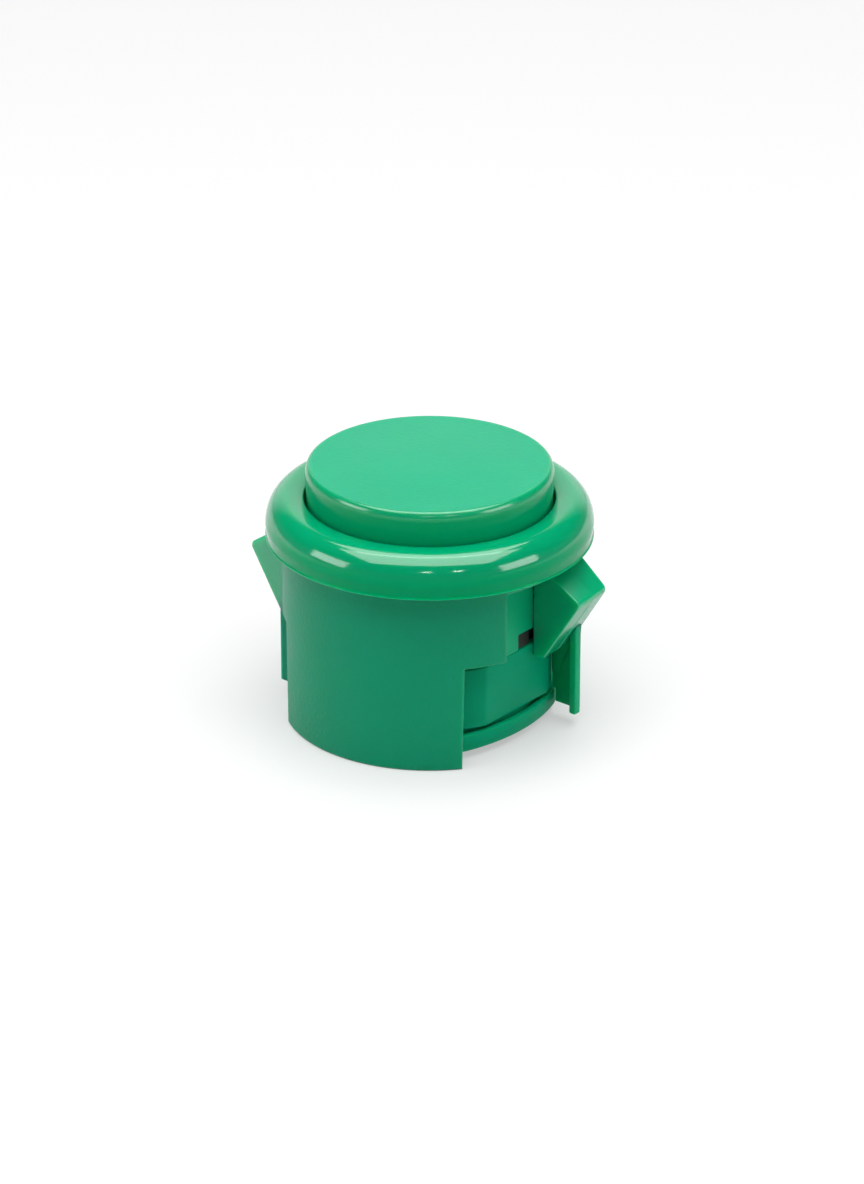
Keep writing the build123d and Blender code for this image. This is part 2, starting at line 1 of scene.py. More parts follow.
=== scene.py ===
import bmesh
import bpy
import numpy as np
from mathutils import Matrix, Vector


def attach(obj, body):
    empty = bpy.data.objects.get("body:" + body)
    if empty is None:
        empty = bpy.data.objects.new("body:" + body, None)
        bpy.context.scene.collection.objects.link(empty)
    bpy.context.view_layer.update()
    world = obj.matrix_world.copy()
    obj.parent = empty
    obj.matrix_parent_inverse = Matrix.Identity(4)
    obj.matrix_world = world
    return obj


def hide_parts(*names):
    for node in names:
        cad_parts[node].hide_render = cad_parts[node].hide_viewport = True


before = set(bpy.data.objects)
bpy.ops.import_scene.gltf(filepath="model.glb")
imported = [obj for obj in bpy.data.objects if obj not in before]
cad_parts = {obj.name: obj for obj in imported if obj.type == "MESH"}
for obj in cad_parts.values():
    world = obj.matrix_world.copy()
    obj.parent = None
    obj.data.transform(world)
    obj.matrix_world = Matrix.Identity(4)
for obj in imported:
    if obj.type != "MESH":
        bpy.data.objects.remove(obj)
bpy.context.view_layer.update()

# Housing: one moulding in green plastic, with the polished bead that lies on the panel and a
# finely grained barrel that is cut away into two skirts. It comes out of a two-part mould with
# side slides, so its edges are barely broken.


def soften(corners, cut, steps=5):
    """Closed outline whose corners are replaced by short parabolas: each starts cut before its
    corner, leaves along one edge, and meets the next edge cut after the corner."""
    corners = np.asarray(corners, float)
    cut = np.broadcast_to(np.asarray(cut, float), (len(corners),))[:, None]
    back = np.roll(corners, 1, axis=0) - corners
    ahead = np.roll(corners, -1, axis=0) - corners
    start = corners + cut * back / np.linalg.norm(back, axis=1, keepdims=True)
    end = corners + cut * ahead / np.linalg.norm(ahead, axis=1, keepdims=True)
    t = np.linspace(0, 1, steps)[None, :, None]
    curve = (1 - t) ** 2 * start[:, None] + 2 * t * (1 - t) * corners[:, None] + t ** 2 * end[:, None]
    return curve.reshape(-1, corners.shape[1])


def skin(loops, ring=False):
    """Quads between neighbouring loops of a (loops, points, 3) array. A ring also joins the last
    loop to the first; otherwise the first and last loops are closed with flat faces."""
    count, points = loops.shape[:2]
    index = np.arange(count * points).reshape(count, points)
    after = np.roll(index, -1, axis=0) if ring else index[1:]
    here = index if ring else index[:-1]
    quads = np.stack((here, np.roll(here, -1, 1), np.roll(after, -1, 1), after), -1).reshape(-1, 4)
    caps = [] if ring else [index[0, ::-1], index[-1]]
    return loops.reshape(-1, 3), quads, caps


def turned(profile, segments, ring=True):
    """Surface of revolution: each (radius, height) of the profile runs once round the Z axis."""
    profile = np.asarray(profile, float)
    angle = np.linspace(0, 2 * np.pi, segments, endpoint=False)
    radius = profile[:, 0, None]
    height = np.broadcast_to(profile[:, 1, None], (len(profile), segments))
    return skin(np.stack((radius * np.cos(angle), radius * np.sin(angle), height), -1), ring)


def wired(tree, kind, values, feeds):
    """New node of a kind, with constants on some of its sockets and links into others."""
    node = tree.nodes.new(kind)
    for socket, value in values.items():
        node.inputs[socket].default_value = value
    for socket, output in feeds.items():
        tree.links.new(output, node.inputs[socket])
    return node


def two_tones(tree, dark, light, factor):
    """Colour ramp from a dark to a light tone over the middle of a noise."""
    ramp = wired(tree, "ShaderNodeValToRGB", {}, {"Fac": factor})
    for stop, position, tone in zip(ramp.color_ramp.elements, (0.3, 0.7), (dark, light)):
        stop.position = position
        stop.color = (*tone, 1)
    return ramp.outputs["Color"]


def moulded_plastic(
    name, colour, roughness, grain, grain_depth, mottle=0.05, shine=0.3, tint_level=0.5, glow=0.85,
    glow_depth=0.0016, polish=None,
):
    """Coloured plastic on Object coordinates: slow mottling from the melt's flow, a fine grain of
    the given size in metres for bump, and sparse handling marks that vary the gloss. Light glows
    through it to glow_depth. A tint_level below 1 takes red, and some blue, out of the mirror light.
    Where polish gives two heights in metres, the surface is polished above the second and shines
    less, and greener, below the first."""
    material = bpy.data.materials.new(name)
    material.use_nodes = True
    tree = material.node_tree
    shader = tree.nodes["Principled BSDF"]
    shader.inputs["Specular IOR Level"].default_value = shine
    shader.inputs["Specular Tint"].default_value = (tint_level, 1, 0.7 + 0.3 * tint_level, 1)
    shader.inputs["Subsurface Weight"].default_value = glow
    shader.inputs["Subsurface Radius"].default_value = (0.15, 1, 0.5)
    shader.inputs["Subsurface Scale"].default_value = glow_depth
    place = tree.nodes.new("ShaderNodeTexCoord").outputs["Object"]

    flow = wired(tree, "ShaderNodeTexNoise", {"Scale": 90, "Detail": 3}, {"Vector": place})
    dark = [c * (1 - mottle) for c in colour]
    light = [c * (1 + mottle) for c in colour]
    tree.links.new(two_tones(tree, dark, light, flow.outputs["Fac"]), shader.inputs["Base Color"])

    texture = wired(tree, "ShaderNodeTexNoise", {"Scale": 1 / grain, "Detail": 2}, {"Vector": place})
    relief = wired(
        tree, "ShaderNodeBump", {"Strength": 1.0, "Distance": grain_depth},
        {"Height": texture.outputs["Fac"]},
    )
    tree.links.new(relief.outputs["Normal"], shader.inputs["Normal"])

    handling = wired(tree, "ShaderNodeTexNoise", {"Scale": 420, "Detail": 2}, {"Vector": place})
    gloss = wired(
        tree, "ShaderNodeMapRange",
        {"From Min": 0.35, "From Max": 0.7, "To Min": roughness * 0.96, "To Max": roughness * 1.06},
        {"Value": handling.outputs["Fac"]},
    )
    tree.links.new(gloss.outputs["Result"], shader.inputs["Roughness"])

    if polish:
        height = wired(tree, "ShaderNodeSeparateXYZ", {}, {"Vector": place})
        fade = wired(
            tree, "ShaderNodeMapRange",
            {"From Min": polish[0], "From Max": polish[1], "To Min": 0.3 * shine, "To Max": shine},
            {"Value": height.outputs["Z"]},
        )
        fade.interpolation_type = "SMOOTHSTEP"
        level = fade.outputs["Result"]
        tree.links.new(level, shader.inputs["Specular IOR Level"])
        square = wired(tree, "ShaderNodeMath", {}, {0: level, 1: level})
        square.operation = "MULTIPLY"
        mirror = wired(
            tree, "ShaderNodeCombineColor", {"Green": 1},
            {"Red": square.outputs["Value"], "Blue": square.outputs["Value"]},
        )
        tree.links.new(mirror.outputs["Color"], shader.inputs["Specular Tint"])
    return material


green = (0.0, 0.39, 0.175)
rim_gloss = moulded_plastic(
    "rim_gloss_green", green, roughness=0.1, grain=0.0012, grain_depth=0.0000015, mottle=0.03, shine=1.0,
    polish=(0.0213, 0.0221),
)
# The barrel is painted a darker green than the bead of the same moulding: painted shade on its upright wall.
barrel_grain_painted_shade = moulded_plastic(
    "barrel_grain_painted_shade_green", (0.0, 0.355, 0.178), roughness=0.42, grain=0.00035, grain_depth=0.00005,
)

barrel_radius, barrel_inner, barrel_top = 14.85, 13.55, 19.9
rim_radius, crown_radius, bore, shelf_radius = 16.5, 14.3, 12.64, 11.9
rim_top, rim_lip, rim_band, rim_seat = 23.75, 23.5, 20.75, 19.5
shelf_top, collar_bottom = 19.3, 18.3

# The bead's section: a thin flash at the foot, a quarter ellipse outside and a shallow one inside
# that meet at the crown, then the shelf under the plunger and back inside the barrel's wall.
quarter = np.linspace(0, np.pi / 2, 32)
foot = np.array([rim_radius, rim_seat]) + [
    (-0.12, 0), (-0.04, 0.03), (0, 0.09), (0, 0.12), (-0.02, 0.16), (-0.09, 0.24), (-0.1, 0.29),
    (-0.1, 0.35), (-0.08, 0.6), (-0.05, 0.85), (-0.02, 1.1),
]
outside = np.stack((
    crown_radius + (rim_radius - crown_radius) * np.cos(quarter),
    rim_band + (rim_top - rim_band) * np.sin(quarter),
), -1)
inside = np.stack((
    crown_radius - (crown_radius - bore) * np.sin(quarter[1::2]),
    rim_lip + (rim_top - rim_lip) * np.cos(quarter[1::2]),
), -1)
inside_wall = (barrel_radius + barrel_inner) / 2
shelf = soften(
    [(bore, shelf_top), (shelf_radius, shelf_top), (shelf_radius, collar_bottom),
     (inside_wall, collar_bottom), (inside_wall, rim_seat)],
    (0.15, 0.12, 0.12, 0.05, 0.05),
)
rim_shell = turned(np.concatenate((foot, outside, inside, shelf)), 288)

# Each side opening is wide below a step and narrow above it: its four sides as places in Y.
opening_sides = np.array([-8.85, -4.8, 7.8, 11.85])
opening_step = 10.95


def skirts(radius, inner, top, edge, draft):
    """Thick barrel wall on a grid of angle and height: cells that fall in the side openings are
    left out, the openings spread downwards by draft, and the outer face sinks by a quarter circle
    of radius edge near every cut edge."""
    cuts = np.add.outer((0, np.pi), np.arcsin(opening_sides / radius)).ravel()
    inner_cuts = np.add.outer((0, np.pi), np.arcsin(opening_sides / inner)).ravel()
    first = cuts[0]
    wide_start, narrow_start, narrow_end, wide_end = cuts[:4] - first

    # Grid lines crowd round every cut edge, and are even elsewhere.
    fringe = edge * np.array([-1.6, -1, -0.7, -0.4, -0.15, 0, 0.15, 0.4, 0.7, 1, 1.6])
    clear = 0.8
    even = np.linspace(first, first + 2 * np.pi, 220, endpoint=False)
    nearest = np.min(np.abs((even[:, None] - cuts + np.pi) % (2 * np.pi) - np.pi), axis=1)
    angle = np.sort(np.concatenate((
        even[nearest > 2.4 * edge / radius], np.add.outer(cuts, fringe / radius).ravel(),
    )))
    height = np.sort(np.concatenate((
        np.linspace(clear, opening_step - clear, 10),
        np.linspace(opening_step + clear, collar_bottom - clear, 7),
        fringe[5:], opening_step + fringe, collar_bottom + fringe, [collar_bottom + clear, top],
    )))
    u, z = np.meshgrid(angle, height, indexing="ij")

    next_angle = np.append(angle[1:], angle[0] + 2 * np.pi)
    turn = ((angle + next_angle)[:, None] / 2 - first) % np.pi
    level = (height[1:] + height[:-1]) / 2
    wide = (turn > wide_start) & (turn < wide_end) & (level < opening_step)
    narrow = (turn > narrow_start) & (turn < narrow_end) & (level < collar_bottom)
    solid = ~(wide | narrow)

    # Shortest way from each grid point to the cut edges, along the surface of one half.
    before_first = 0.4
    half = (u - first) % np.pi
    half = np.where(half > np.pi - before_first, half - np.pi, half)
    uprights = [
        (wide_start, 0, opening_step), (wide_end, 0, opening_step),
        (narrow_start, opening_step, collar_bottom), (narrow_end, opening_step, collar_bottom),
    ]
    levels = [
        (opening_step, wide_start, narrow_start), (opening_step, narrow_end, wide_end),
        (collar_bottom, narrow_start, narrow_end), (0, wide_end, wide_start + np.pi),
        (0, wide_end - np.pi, wide_start),
    ]
    ways = [np.hypot((half - place) * radius, z - np.clip(z, low, high)) for place, low, high in uprights]
    ways += [np.hypot((half - np.clip(half, low, high)) * radius, z - place) for place, low, high in levels]
    reach = np.clip(edge - np.min(ways, axis=0), 0, edge)
    outer_radius = radius - edge + np.sqrt(edge ** 2 - reach ** 2)

    # The wide openings' sides lean apart towards the bottom, and less so away from them.
    lean_reach = 0.3
    spread = draft * np.clip(opening_step - z, 0, opening_step) / opening_step
    lean = np.zeros_like(u)
    for side, way in zip(cuts[[0, 3, 4, 7]], (-1, 1, -1, 1)):
        away = np.abs((u - side + np.pi) % (2 * np.pi) - np.pi)
        lean += way * np.clip(1 - away / lean_reach, 0, 1) * spread / (radius * abs(np.cos(side)))
    u_outer = u + lean
    full_cuts = np.append(cuts, first + 2 * np.pi)
    full_inner_cuts = np.append(inner_cuts, inner_cuts[0] + 2 * np.pi)
    u_inner = np.interp(u, full_cuts, full_inner_cuts) + lean * radius / inner
    outer = np.stack((outer_radius * np.cos(u_outer), outer_radius * np.sin(u_outer), z), -1)
    inside = np.stack((inner * np.cos(u_inner), inner * np.sin(u_inner), z), -1)
    points = np.concatenate((outer.reshape(-1, 3), inside.reshape(-1, 3)))

    # Outer and inner faces of the solid cells, then the walls where a solid cell meets an open one.
    index = np.arange(u.size).reshape(u.shape)
    behind = index + u.size
    ahead = np.roll(index, -1, axis=0)
    fronts = np.stack((index[:, :-1], ahead[:, :-1], ahead[:, 1:], index[:, 1:]), -1)[solid]
    backs = fronts[:, ::-1] + u.size
    cut = solid != np.roll(solid, 1, axis=0)
    sides = np.stack((index[:, :-1], index[:, 1:], behind[:, 1:], behind[:, :-1]), -1)[cut]
    padded = np.pad(solid, ((0, 0), (1, 1)))
    cut = padded[:, 1:] != padded[:, :-1]
    ends = np.stack((index, ahead, ahead + u.size, behind), -1)[cut]
    faces = np.concatenate((fronts, backs, sides, ends))
    used, flat = np.unique(faces, return_inverse=True)
    return points[used], flat.reshape(faces.shape), []


barrel_shell = skirts(barrel_radius, barrel_inner, barrel_top, edge=0.32, draft=0.18)

# Wedge clips, part of the housing's moulding: the long lower slope rides over the panel's edge and
# the short upper slope holds behind it, with the mould's parting line down the middle. A thin post
# and web below each wedge stiffen it, and a plate beside it, notched over the switch, closes the opening.
# Clips, posts, roots and plates are painted a lighter green than the rest of the same moulding: painted
# light on pieces that sit in shade under the bead and between the skirts.
painted_light_green = (0.0, 0.48, 0.225)
plate_grain_painted_light = moulded_plastic(
    "plate_grain_painted_light_green", painted_light_green, roughness=0.42, grain=0.0003, grain_depth=0.00001,
)
clip_sheen_painted_light = moulded_plastic(
    "clip_sheen_painted_light_green", painted_light_green, roughness=0.22, grain=0.0006, grain_depth=0.000006, mottle=0.04,
    shine=1.0, tint_level=0.9, glow_depth=0.0024,
)


def inset(outline, depth):
    """One copy of the outline for each depth, moved inwards by it along the mean of the normals of
    the two edges that meet at a point."""
    edge = np.roll(outline, -1, axis=0) - outline
    normal = np.stack((edge[:, 1], -edge[:, 0]), -1)
    normal /= np.linalg.norm(normal, axis=1, keepdims=True)
    mean = normal + np.roll(normal, 1, axis=0)
    mean /= np.maximum(np.linalg.norm(mean, axis=1, keepdims=True), 1e-9)
    x, z = outline.T
    area = np.sum(x * np.roll(z, -1) - np.roll(x, -1) * z)
    return outline - np.sign(area) * np.asarray(depth)[:, None, None] * mean


def bar(outline, start, end, edge, side=1, far=None, far_edge=None, ridge=(), steps=5):
    """Outline in X and Z carried along Y from start to end, where it has become the outline far.
    Near each end it draws in by a quarter circle of radius edge, or far_edge at the end, and by a
    narrow flat border. A ridge is a list of (Y, height) points between them. A side of -1 gives
    half a turn about Z."""
    far = outline if far is None else far
    far_edge = edge if far_edge is None else far_edge
    border = 0.015
    turn = np.linspace(0, np.pi / 2, steps)
    draw, lead = 1 - np.sin(turn), 1 - np.cos(turn)
    place, rise = np.reshape(ridge, (-1, 2)).T
    along = np.concatenate(([start], start + edge * lead, place, (end - far_edge * lead)[::-1], [end]))
    depth = np.concatenate(
        ([edge + border], edge * draw, -rise, (far_edge * draw)[::-1], [far_edge + border]),
    )
    share = ((along - start) / (end - start))[:, None, None]
    loops = (1 - share) * inset(outline, depth) + share * inset(far, depth)
    y = np.broadcast_to(along[:, None], loops.shape[:2])
    return skin(np.stack((side * loops[..., 0], side * y, loops[..., 1]), -1))


def about_axis(shell, degrees):
    """Shell turned about the Z axis."""
    angle = np.radians(degrees)
    spin = np.array([[np.cos(angle), -np.sin(angle), 0], [np.sin(angle), np.cos(angle), 0], [0, 0, 1]])
    return shell[0] @ spin.T, *shell[1:]


MM = 0.001


def moulding(name, shells, materials, body, node, smooth_angle=34):
    """One mesh object from closed shells in millimetres, each with the index of its material, or
    with one index for each face."""
    vertices, faces, finish, smooth, offset = [], [], [], [], 0
    for (points, quads, caps), material_index in shells:
        vertices.append(points)
        faces += (quads + offset).tolist() + [(cap + offset).tolist() for cap in caps]
        finish += np.broadcast_to(material_index, len(quads) + len(caps)).tolist()
        smooth += [True] * len(quads) + [False] * len(caps)
        offset += len(points)
    mesh = bpy.data.meshes.new(name)
    mesh.from_pydata((np.concatenate(vertices) * MM).tolist(), [], faces)
    for material in materials:
        mesh.materials.append(material)
    mesh.polygons.foreach_set("material_index", finish)
    form = bmesh.new()
    form.from_mesh(mesh)
    bmesh.ops.recalc_face_normals(form, faces=form.faces)
    form.to_mesh(mesh)
    form.free()
    mesh.polygons.foreach_set("use_smooth", smooth)
    mesh.set_sharp_from_angle(angle=np.radians(smooth_angle))
    piece = bpy.data.objects.new(name, mesh)
    bpy.context.scene.collection.objects.link(piece)
    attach(piece, body)
    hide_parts(node)


clip_back, clip_head, clip_foot = 11.45, 18.9, 8.4
clip_span = (2.4, 7.3)
clip_near = {
    "tip": (17.45, 15.6), "slope_top": (13.4, 17.8), "foot_reach": 12.85, "root": 13.35,
    "cuts": (0.2, 0.25, 0.62, 0.3, 0.2, 0.2),
}
clip_far = {
    "tip": (17.1, 15.7), "slope_top": (13.6, 18.5), "foot_reach": 12.5, "root": 13.0,
    "cuts": (0.45, 0.45, 0.7, 0.3, 0.15, 0.45),
}
parting_line = [(4.77, 0), (4.8, 0.03), (4.88, 0.03), (4.91, 0)]


def clip_section(sprung, tip, slope_top, foot_reach, root, cuts):
    """Outline of a wedge with its tip at (X, Z), its upper slope up to slope_top, its lower slope
    down to its foot at X = foot_reach, and its root in the collar at X = root. Tip and foot stand
    further out by sprung."""
    corners = [
        (clip_back, clip_foot), (foot_reach + sprung, clip_foot), (tip[0] + sprung, tip[1]), slope_top,
        (root, clip_head), (clip_back, clip_head),
    ]
    return soften(corners, cuts, 7)


# Post, web and the web's root end just inside the slope of the clip above them.
post_inner, post_outer = 13.55, 14.38
post_bottom, post_inner_top, post_outer_top = 1.3, 10.08, 11.38
post_span = (5.68, 6.48)
post_outline = soften(
    [(post_inner, post_bottom), (post_outer, post_bottom), (post_outer, post_outer_top),
     (post_inner, post_inner_top)],
    (0.25, 0.25, 0.2, 0.2),
)
web_outer, web_slope = 13.6, 12.55
web_bottom, web_shoulder, web_top = 1.5, 8.55, 10.2
web_notch, web_notch_top = 0.38, 2.95
web_span = (6.72, 7.2)


def web_section(inner):
    """Outline of the web from the post in to X = inner, with a notch over the base's foot flange."""
    return soften(
        [(inner + web_notch, web_bottom), (web_outer, web_bottom), (web_outer, web_top),
         (web_slope, web_shoulder), (inner, web_shoulder), (inner, web_notch_top),
         (inner + web_notch, web_notch_top)],
        0.1,
    )


web_near, web_far = web_section(10.62), web_section(10.3)
root_inner, root_outer = 13.3, 13.88
root_bottom, root_inner_top, root_outer_top = 1.45, 9.72, 10.63
root_span = (6.3, 7.1)
root_outline = soften(
    [(root_inner, root_bottom), (root_outer, root_bottom), (root_outer, root_outer_top),
     (root_inner, root_inner_top)],
    0.1,
)
plate_right, plate_left, plate_head, plate_bottom = 3.9, -2.42, 19.3, 9.7
window_right, window_top = -0.13, 11.4
plate_span = (10.3, 11.4)
plate_outline = soften(
    [(plate_right, plate_bottom), (plate_right, plate_head), (plate_left, plate_head),
     (plate_left, window_top), (window_right, window_top), (window_right, plate_bottom)],
    (0.08, 0.1, 0.1, 0.08, 0.08, 0.08),
)
ledge_inner, ledge_outer, ledge_bottom, ledge_top = 10.4, 12.9, 18.35, 19.25
ledge_span = (-3.8, 2.3)
ledge_outline = soften(
    [(ledge_inner, ledge_bottom), (ledge_outer, ledge_bottom), (ledge_outer, ledge_top),
     (ledge_inner, ledge_top)],
    0.1,
)
housing_finishes = [rim_gloss, barrel_grain_painted_shade, clip_sheen_painted_light, plate_grain_painted_light]
in_gloss, in_grain, in_sheen, in_plate = range(4)
housing_shells = [(rim_shell, in_gloss), (barrel_shell, in_grain)]
for side, sprung in ((1, 0.0), (-1, 0.7)):
    near, far = clip_section(sprung, **clip_near), clip_section(sprung, **clip_far)
    plate = bar(plate_outline, *plate_span, edge=0.03)
    housing_shells += [
        (bar(near, *clip_span, edge=0.12, side=side, far=far, far_edge=0.3, ridge=parting_line), in_sheen),
        (bar(post_outline, *post_span, edge=0.12, side=side), in_plate),
        (bar(web_near, *web_span, edge=0.05, side=side, far=web_far), in_grain),
        (bar(root_outline, *root_span, edge=0.05, side=side), in_plate),
        (about_axis(plate, -90 * side), in_plate),
        (bar(ledge_outline, *ledge_span, edge=0.05, side=side), in_grain),
    ]
moulding(
    "housing_moulding", housing_shells, housing_finishes, "frame", "housing",
    smooth_angle=30,
)

# Plunger: a hollow cap in green plastic with a satin top, moulded with a push stem, a seat for the
# return spring, six stiffening ribs and two barbed legs that snap under the housing's shelf.
# The satin top is painted a lighter green than the rest of the same moulding: painted light on the face that
# looks up at the softboxes.
plunger_satin_painted_light = moulded_plastic(
    "plunger_satin_painted_light_green", (0.0, 0.43, 0.215), roughness=0.3, grain=0.00032, grain_depth=0.00002,
    mottle=0.03,
)
plunger_gloss = moulded_plastic(
    "plunger_gloss_green", green, roughness=0.18, grain=0.0008, grain_depth=0.000002, mottle=0.03, shine=1.0,
    polish=(0.0258, 0.0267),
)
plunger_belly, plunger_radius, plunger_inner = 12.46, 12.36, 11.1
plunger_top, plunger_neck, plunger_skirt = 27.03, 23.4, 21.15
top_dome, cap_under = 0.12, 25.6
seat_outer, seat_inner, seat_bottom = 4.95, 4.15, 24.4
stem_radius, nose_radius, nose_flat = 2.6, 1.5, 0.9
stem_shoulder, nose_bottom = 17.35, 15.75

# The cap's edge turns through a small arc and then a larger one into a side that leans inwards.
small_arc, large_arc, blend, side_lean = 0.35, 1.2, np.radians(35), np.radians(-2)
first, second = np.linspace(np.pi / 2, blend, 10), np.linspace(blend, side_lean, 14)[1:]
arc_step = (large_arc - small_arc) * np.array([np.cos(blend), np.sin(blend)])
small_middle = np.array([plunger_belly - large_arc + arc_step[0], plunger_top - small_arc])
large_middle = small_middle - arc_step
crown = np.concatenate((
    small_middle + small_arc * np.stack((np.cos(first), np.sin(first)), -1),
    large_middle + large_arc * np.stack((np.cos(second), np.sin(second)), -1),
    [(plunger_radius, plunger_neck)],
))
top_reach = np.linspace(0.01, 1, 24)[:-1]
top_disc = np.stack((small_middle[0] * top_reach, plunger_top + top_dome * (1 - top_reach ** 2) ** 2), -1)
under = soften(
    [(plunger_radius, plunger_skirt), (plunger_inner, plunger_skirt), (plunger_inner, cap_under),
     (seat_outer, cap_under), (seat_outer, seat_bottom), (seat_inner, seat_bottom), (seat_inner, cap_under),
     (stem_radius, cap_under), (stem_radius, stem_shoulder), (nose_radius, stem_shoulder),
     (nose_radius, nose_bottom), (nose_flat, nose_bottom)],
    (0.15, 0.15, 0.4, 0.2, 0.15, 0.15, 0.2, 0.2, 0.15, 0.15, 0.2, 0.05),
)

# The top is satin and the rest shines. The last two faces close the top's middle and the nose.
cap_segments = 256
cap_shell = turned(np.concatenate((top_disc, crown, under)), cap_segments, ring=False)
in_satin, in_shine = range(2)
cap_finish = np.full(len(cap_shell[1]) + 2, in_shine)
cap_finish[:cap_segments * len(top_disc)] = in_satin
cap_finish[-2] = in_satin
plunger_shells = [(cap_shell, cap_finish)]

leg_inner, leg_outer, leg_half_width = 10.5, 11.6, 2
leg_bottom, leg_top = 11.25, 26.4
barb_reach, barb_start, barb_low, barb_top = 12.5, 16.2, 17.65, 18.2
leg_outline = soften(
    [(leg_inner, leg_bottom), (leg_outer, leg_bottom), (leg_outer, barb_start), (barb_reach, barb_low),
     (barb_reach, barb_top), (leg_outer, barb_top), (leg_outer, leg_top), (leg_inner, leg_top)],
    (0.2, 0.2, 0.2, 0.2, 0.2, 0.05, 0.2, 0.2),
)
leg = bar(leg_outline, -leg_half_width, leg_half_width, edge=0.12)
plunger_shells += [(about_axis(leg, degrees), in_shine) for degrees in (90, 270)]
rib_inner, rib_bottom, rib_top, rib_half_width = 4.6, 24.0, 25.9, 0.45
rib_outline = soften(
    [(rib_inner, rib_bottom), (leg_outer, rib_bottom), (leg_outer, rib_top), (rib_inner, rib_top)], 0.17,
)
rib = bar(rib_outline, -rib_half_width, rib_half_width, edge=0.1)
plunger_shells += [(about_axis(rib, degrees), in_shine) for degrees in range(30, 390, 60)]
plunger_finishes = [plunger_satin_painted_light, plunger_gloss]
moulding("plunger_moulding", plunger_shells, plunger_finishes, "plunger", "plunger")

# Switch base: a satin green moulded cup that snaps into the bottom of the housing. Its foot flange
# carries a thin lip behind a groove, the cup has a flat on each side for the clips, and a bay below
# takes the wires.
base_satin = moulded_plastic(
    "base_satin_green", (0.0, 0.39, 0.196), roughness=0.48, grain=0.0002, grain_depth=0.00001, shine=0.12,
)
around = np.linspace(0, 2 * np.pi, 480, endpoint=False)


def nearer(radius, wall):
    """The smaller of two radii at each angle, blended with a high power mean so that the corners
    stay slightly round."""
    small, large = np.minimum(radius, wall), np.maximum(radius, wall)
    return small * (1 + (small / large) ** 400) ** (-1 / 400)


def flatted_loop(radius, flat):
    """Circle cut by flats at X = +-flat, as a radius at every angle."""
    return nearer(radius, flat / np.maximum(np.abs(np.cos(around)), 1e-6))


def bowed_loop(radius, middle, bow):
    """Circle whose two sides at +-X give way to shallower arcs of radius bow that pass X = +-middle."""
    away = middle - bow
    along = np.abs(np.cos(around)) * away
    return nearer(radius, along + np.sqrt(along ** 2 + bow ** 2 - away ** 2))


def bay_loop(length, width, corner):
    """Rounded rectangle as a radius at every angle: the nearer side, or the corner's circle."""
    cosine, sine = np.abs(np.cos(around)), np.abs(np.sin(around))
    plain = np.minimum(length / 2 / np.maximum(cosine, 1e-9), width / 2 / np.maximum(sine, 1e-9))
    x, y = length / 2 - corner, width / 2 - corner
    middle = x * cosine + y * sine
    arc = middle + np.sqrt(np.maximum(middle ** 2 - (x ** 2 + y ** 2 - corner ** 2), 0))
    return np.where((plain * cosine > x) & (plain * sine > y), arc, plain)


def stacked(section, ring=False):
    """Skin over loops round the Z axis, each a pair of a radius at every angle and a height."""
    radius = np.stack([loop for loop, level in section])
    height = np.broadcast_to(np.array([level for loop, level in section])[:, None], radius.shape)
    return skin(np.stack((radius * np.cos(around), radius * np.sin(around), height), -1), ring)


cup, cup_inner = flatted_loop(radius=12.4, flat=11.4), flatted_loop(radius=11.4, flat=10.4)
flange, groove = bowed_loop(radius=12.85, middle=11.92, bow=20.0), np.full_like(around, 11.0)
lip_inner = flange - 0.7
bay = bay_loop(length=15.0, width=7.4, corner=1.8)
bay_wall = bay_loop(length=17.0, width=9.4, corner=2.8)
sole, groove_floor, lip_top, shoulder = 0.85, 1.95, 2.7, 3.15
cup_floor, cup_top, bay_roof, bay_crown = 4.15, 9.65, 5.8, 6.8

# From the bay's roof down and out to the foot, up over lip, groove and cup, and back over the bay:
# a row for each edge, broken by two or three points.
base_section = [
    (bay - 0.25, bay_roof), (bay - 0.08, bay_roof - 0.05), (bay, bay_roof - 0.25),
    (bay, sole + 0.25), (bay + 0.08, sole + 0.07), (bay + 0.25, sole),
    (flange - 0.3, sole), (flange - 0.1, sole + 0.08), (flange, sole + 0.3),
    (flange, lip_top - 0.2), (flange - 0.05, lip_top - 0.06), (flange - 0.18, lip_top),
    (lip_inner + 0.18, lip_top), (lip_inner + 0.05, lip_top - 0.05), (lip_inner, lip_top - 0.2),
    (lip_inner, groove_floor + 0.15), (lip_inner - 0.08, groove_floor + 0.02),
    (groove + 0.05, groove_floor), (groove, groove_floor + 0.15),
    (groove, shoulder - 0.1), (groove + 0.05, shoulder),
    (cup - 0.3, shoulder), (cup - 0.09, shoulder + 0.09), (cup, shoulder + 0.3),
    (cup, cup_top - 0.15), (cup - 0.04, cup_top - 0.04), (cup - 0.15, cup_top),
    (cup_inner + 0.2, cup_top), (cup_inner + 0.05, cup_top - 0.05), (cup_inner, cup_top - 0.2),
    (cup_inner, cup_floor + 0.2), (cup_inner - 0.2, cup_floor),
    (bay_wall + 0.1, cup_floor), (bay_wall, cup_floor + 0.1),
    (bay_wall, bay_crown - 0.1), (bay_wall - 0.1, bay_crown),
]

# The wall inside the cup that holds the switch stands on the cup's floor.
cradle_outer = np.minimum(bay_loop(21.7, 13.1, 0.8), flatted_loop(11.9, 10.9))
cradle_inner = np.minimum(bay_loop(19.7, 11.1, 0.2), cradle_outer - 0.4)
cradle_foot, cradle_top, cradle_edge = 4.1, 8.3, 0.2
cradle_section = [
    (cradle_inner, cradle_foot),
    (cradle_inner, cradle_top - cradle_edge), (cradle_inner + cradle_edge, cradle_top),
    (cradle_outer - cradle_edge, cradle_top), (cradle_outer, cradle_top - cradle_edge),
    (cradle_outer, cradle_foot),
]
base_shells = [(stacked(base_section), 0), (stacked(cradle_section, ring=True), 0)]
moulding("switch_base_moulding", base_shells, [base_satin], "frame", "switch_base")

